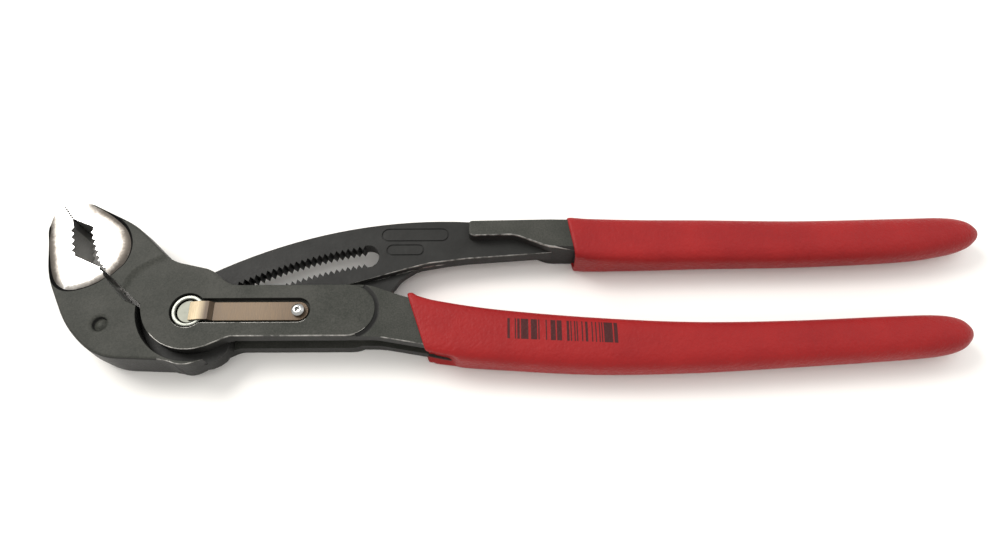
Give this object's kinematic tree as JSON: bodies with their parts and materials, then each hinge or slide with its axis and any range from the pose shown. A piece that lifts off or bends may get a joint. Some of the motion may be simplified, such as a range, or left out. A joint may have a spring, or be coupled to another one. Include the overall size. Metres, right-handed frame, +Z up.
{
  "type": "tongue and groove pliers",
  "caption": "Push-button tongue and groove pliers with angled toothed jaws, a box joint on a curved toothed slot, a leaf spring and dipped grips.",
  "frame": {"origin": "on the surface that the pliers lie on, under the middle of their box", "axes": "+X along the tool from the jaws to the handles, +Y from the lower handle to the upper one, +Z up, out of the face with the leaf spring"},
  "size_m": [0.4012, 0.0759, 0.0195],
  "materials": {
    "forged_steel": "dark grey phosphated forging, satin, with the jaws ground bright",
    "pivot_steel": "turned, bright",
    "spring_steel": "bronze temper tint, brushed along its length",
    "screw_steel": "bright plated",
    "grip_coat": "dipped soft plastic with a fine leathery surface"
  },
  "bodies": {
    "outer": {"outer_lever": "forged_steel", "outer_grip": "grip_coat", "spring_screw": "screw_steel"},
    "pivot": {"pivot_drum": "pivot_steel", "pivot_ring": "pivot_steel"},
    "slotted": {"slotted_lever": "forged_steel", "slotted_grip": "grip_coat"},
    "core": {"lock_core": "pivot_steel", "push_button": "pivot_steel"},
    "spring": {"leaf_spring": "spring_steel"}
  },
  "joints": [
    {"name": "jaw_pivot", "type": "hinge", "parent": "outer", "child": "pivot", "pos_m": [-0.134, -0.0132, 0.0095], "axis": [0, 0, 1], "range_deg": [0, 27]},
    {"name": "groove_adjust", "type": "hinge", "parent": "pivot", "child": "slotted", "pos_m": [-0.03173, -0.17687, 0.0095], "axis": [0, 0, 1], "range_deg": [0, 21.82]},
    {"name": "button_push", "type": "slide", "parent": "pivot", "child": "core", "axis": [0, 0, 1], "range_m": [0, 0.0032], "stiffness_N_per_m": 1500, "springref_m": -0.002},
    {"name": "leaf_flex", "type": "hinge", "parent": "outer", "child": "spring", "pos_m": [-0.0887, -0.0132, 0.017], "axis": [0, 1, 0], "range_deg": [0, 4.2]}
  ],
  "couplings": [
    {"joint": "leaf_flex", "follows": "button_push", "rad_per_m": 22.47}
  ]
}
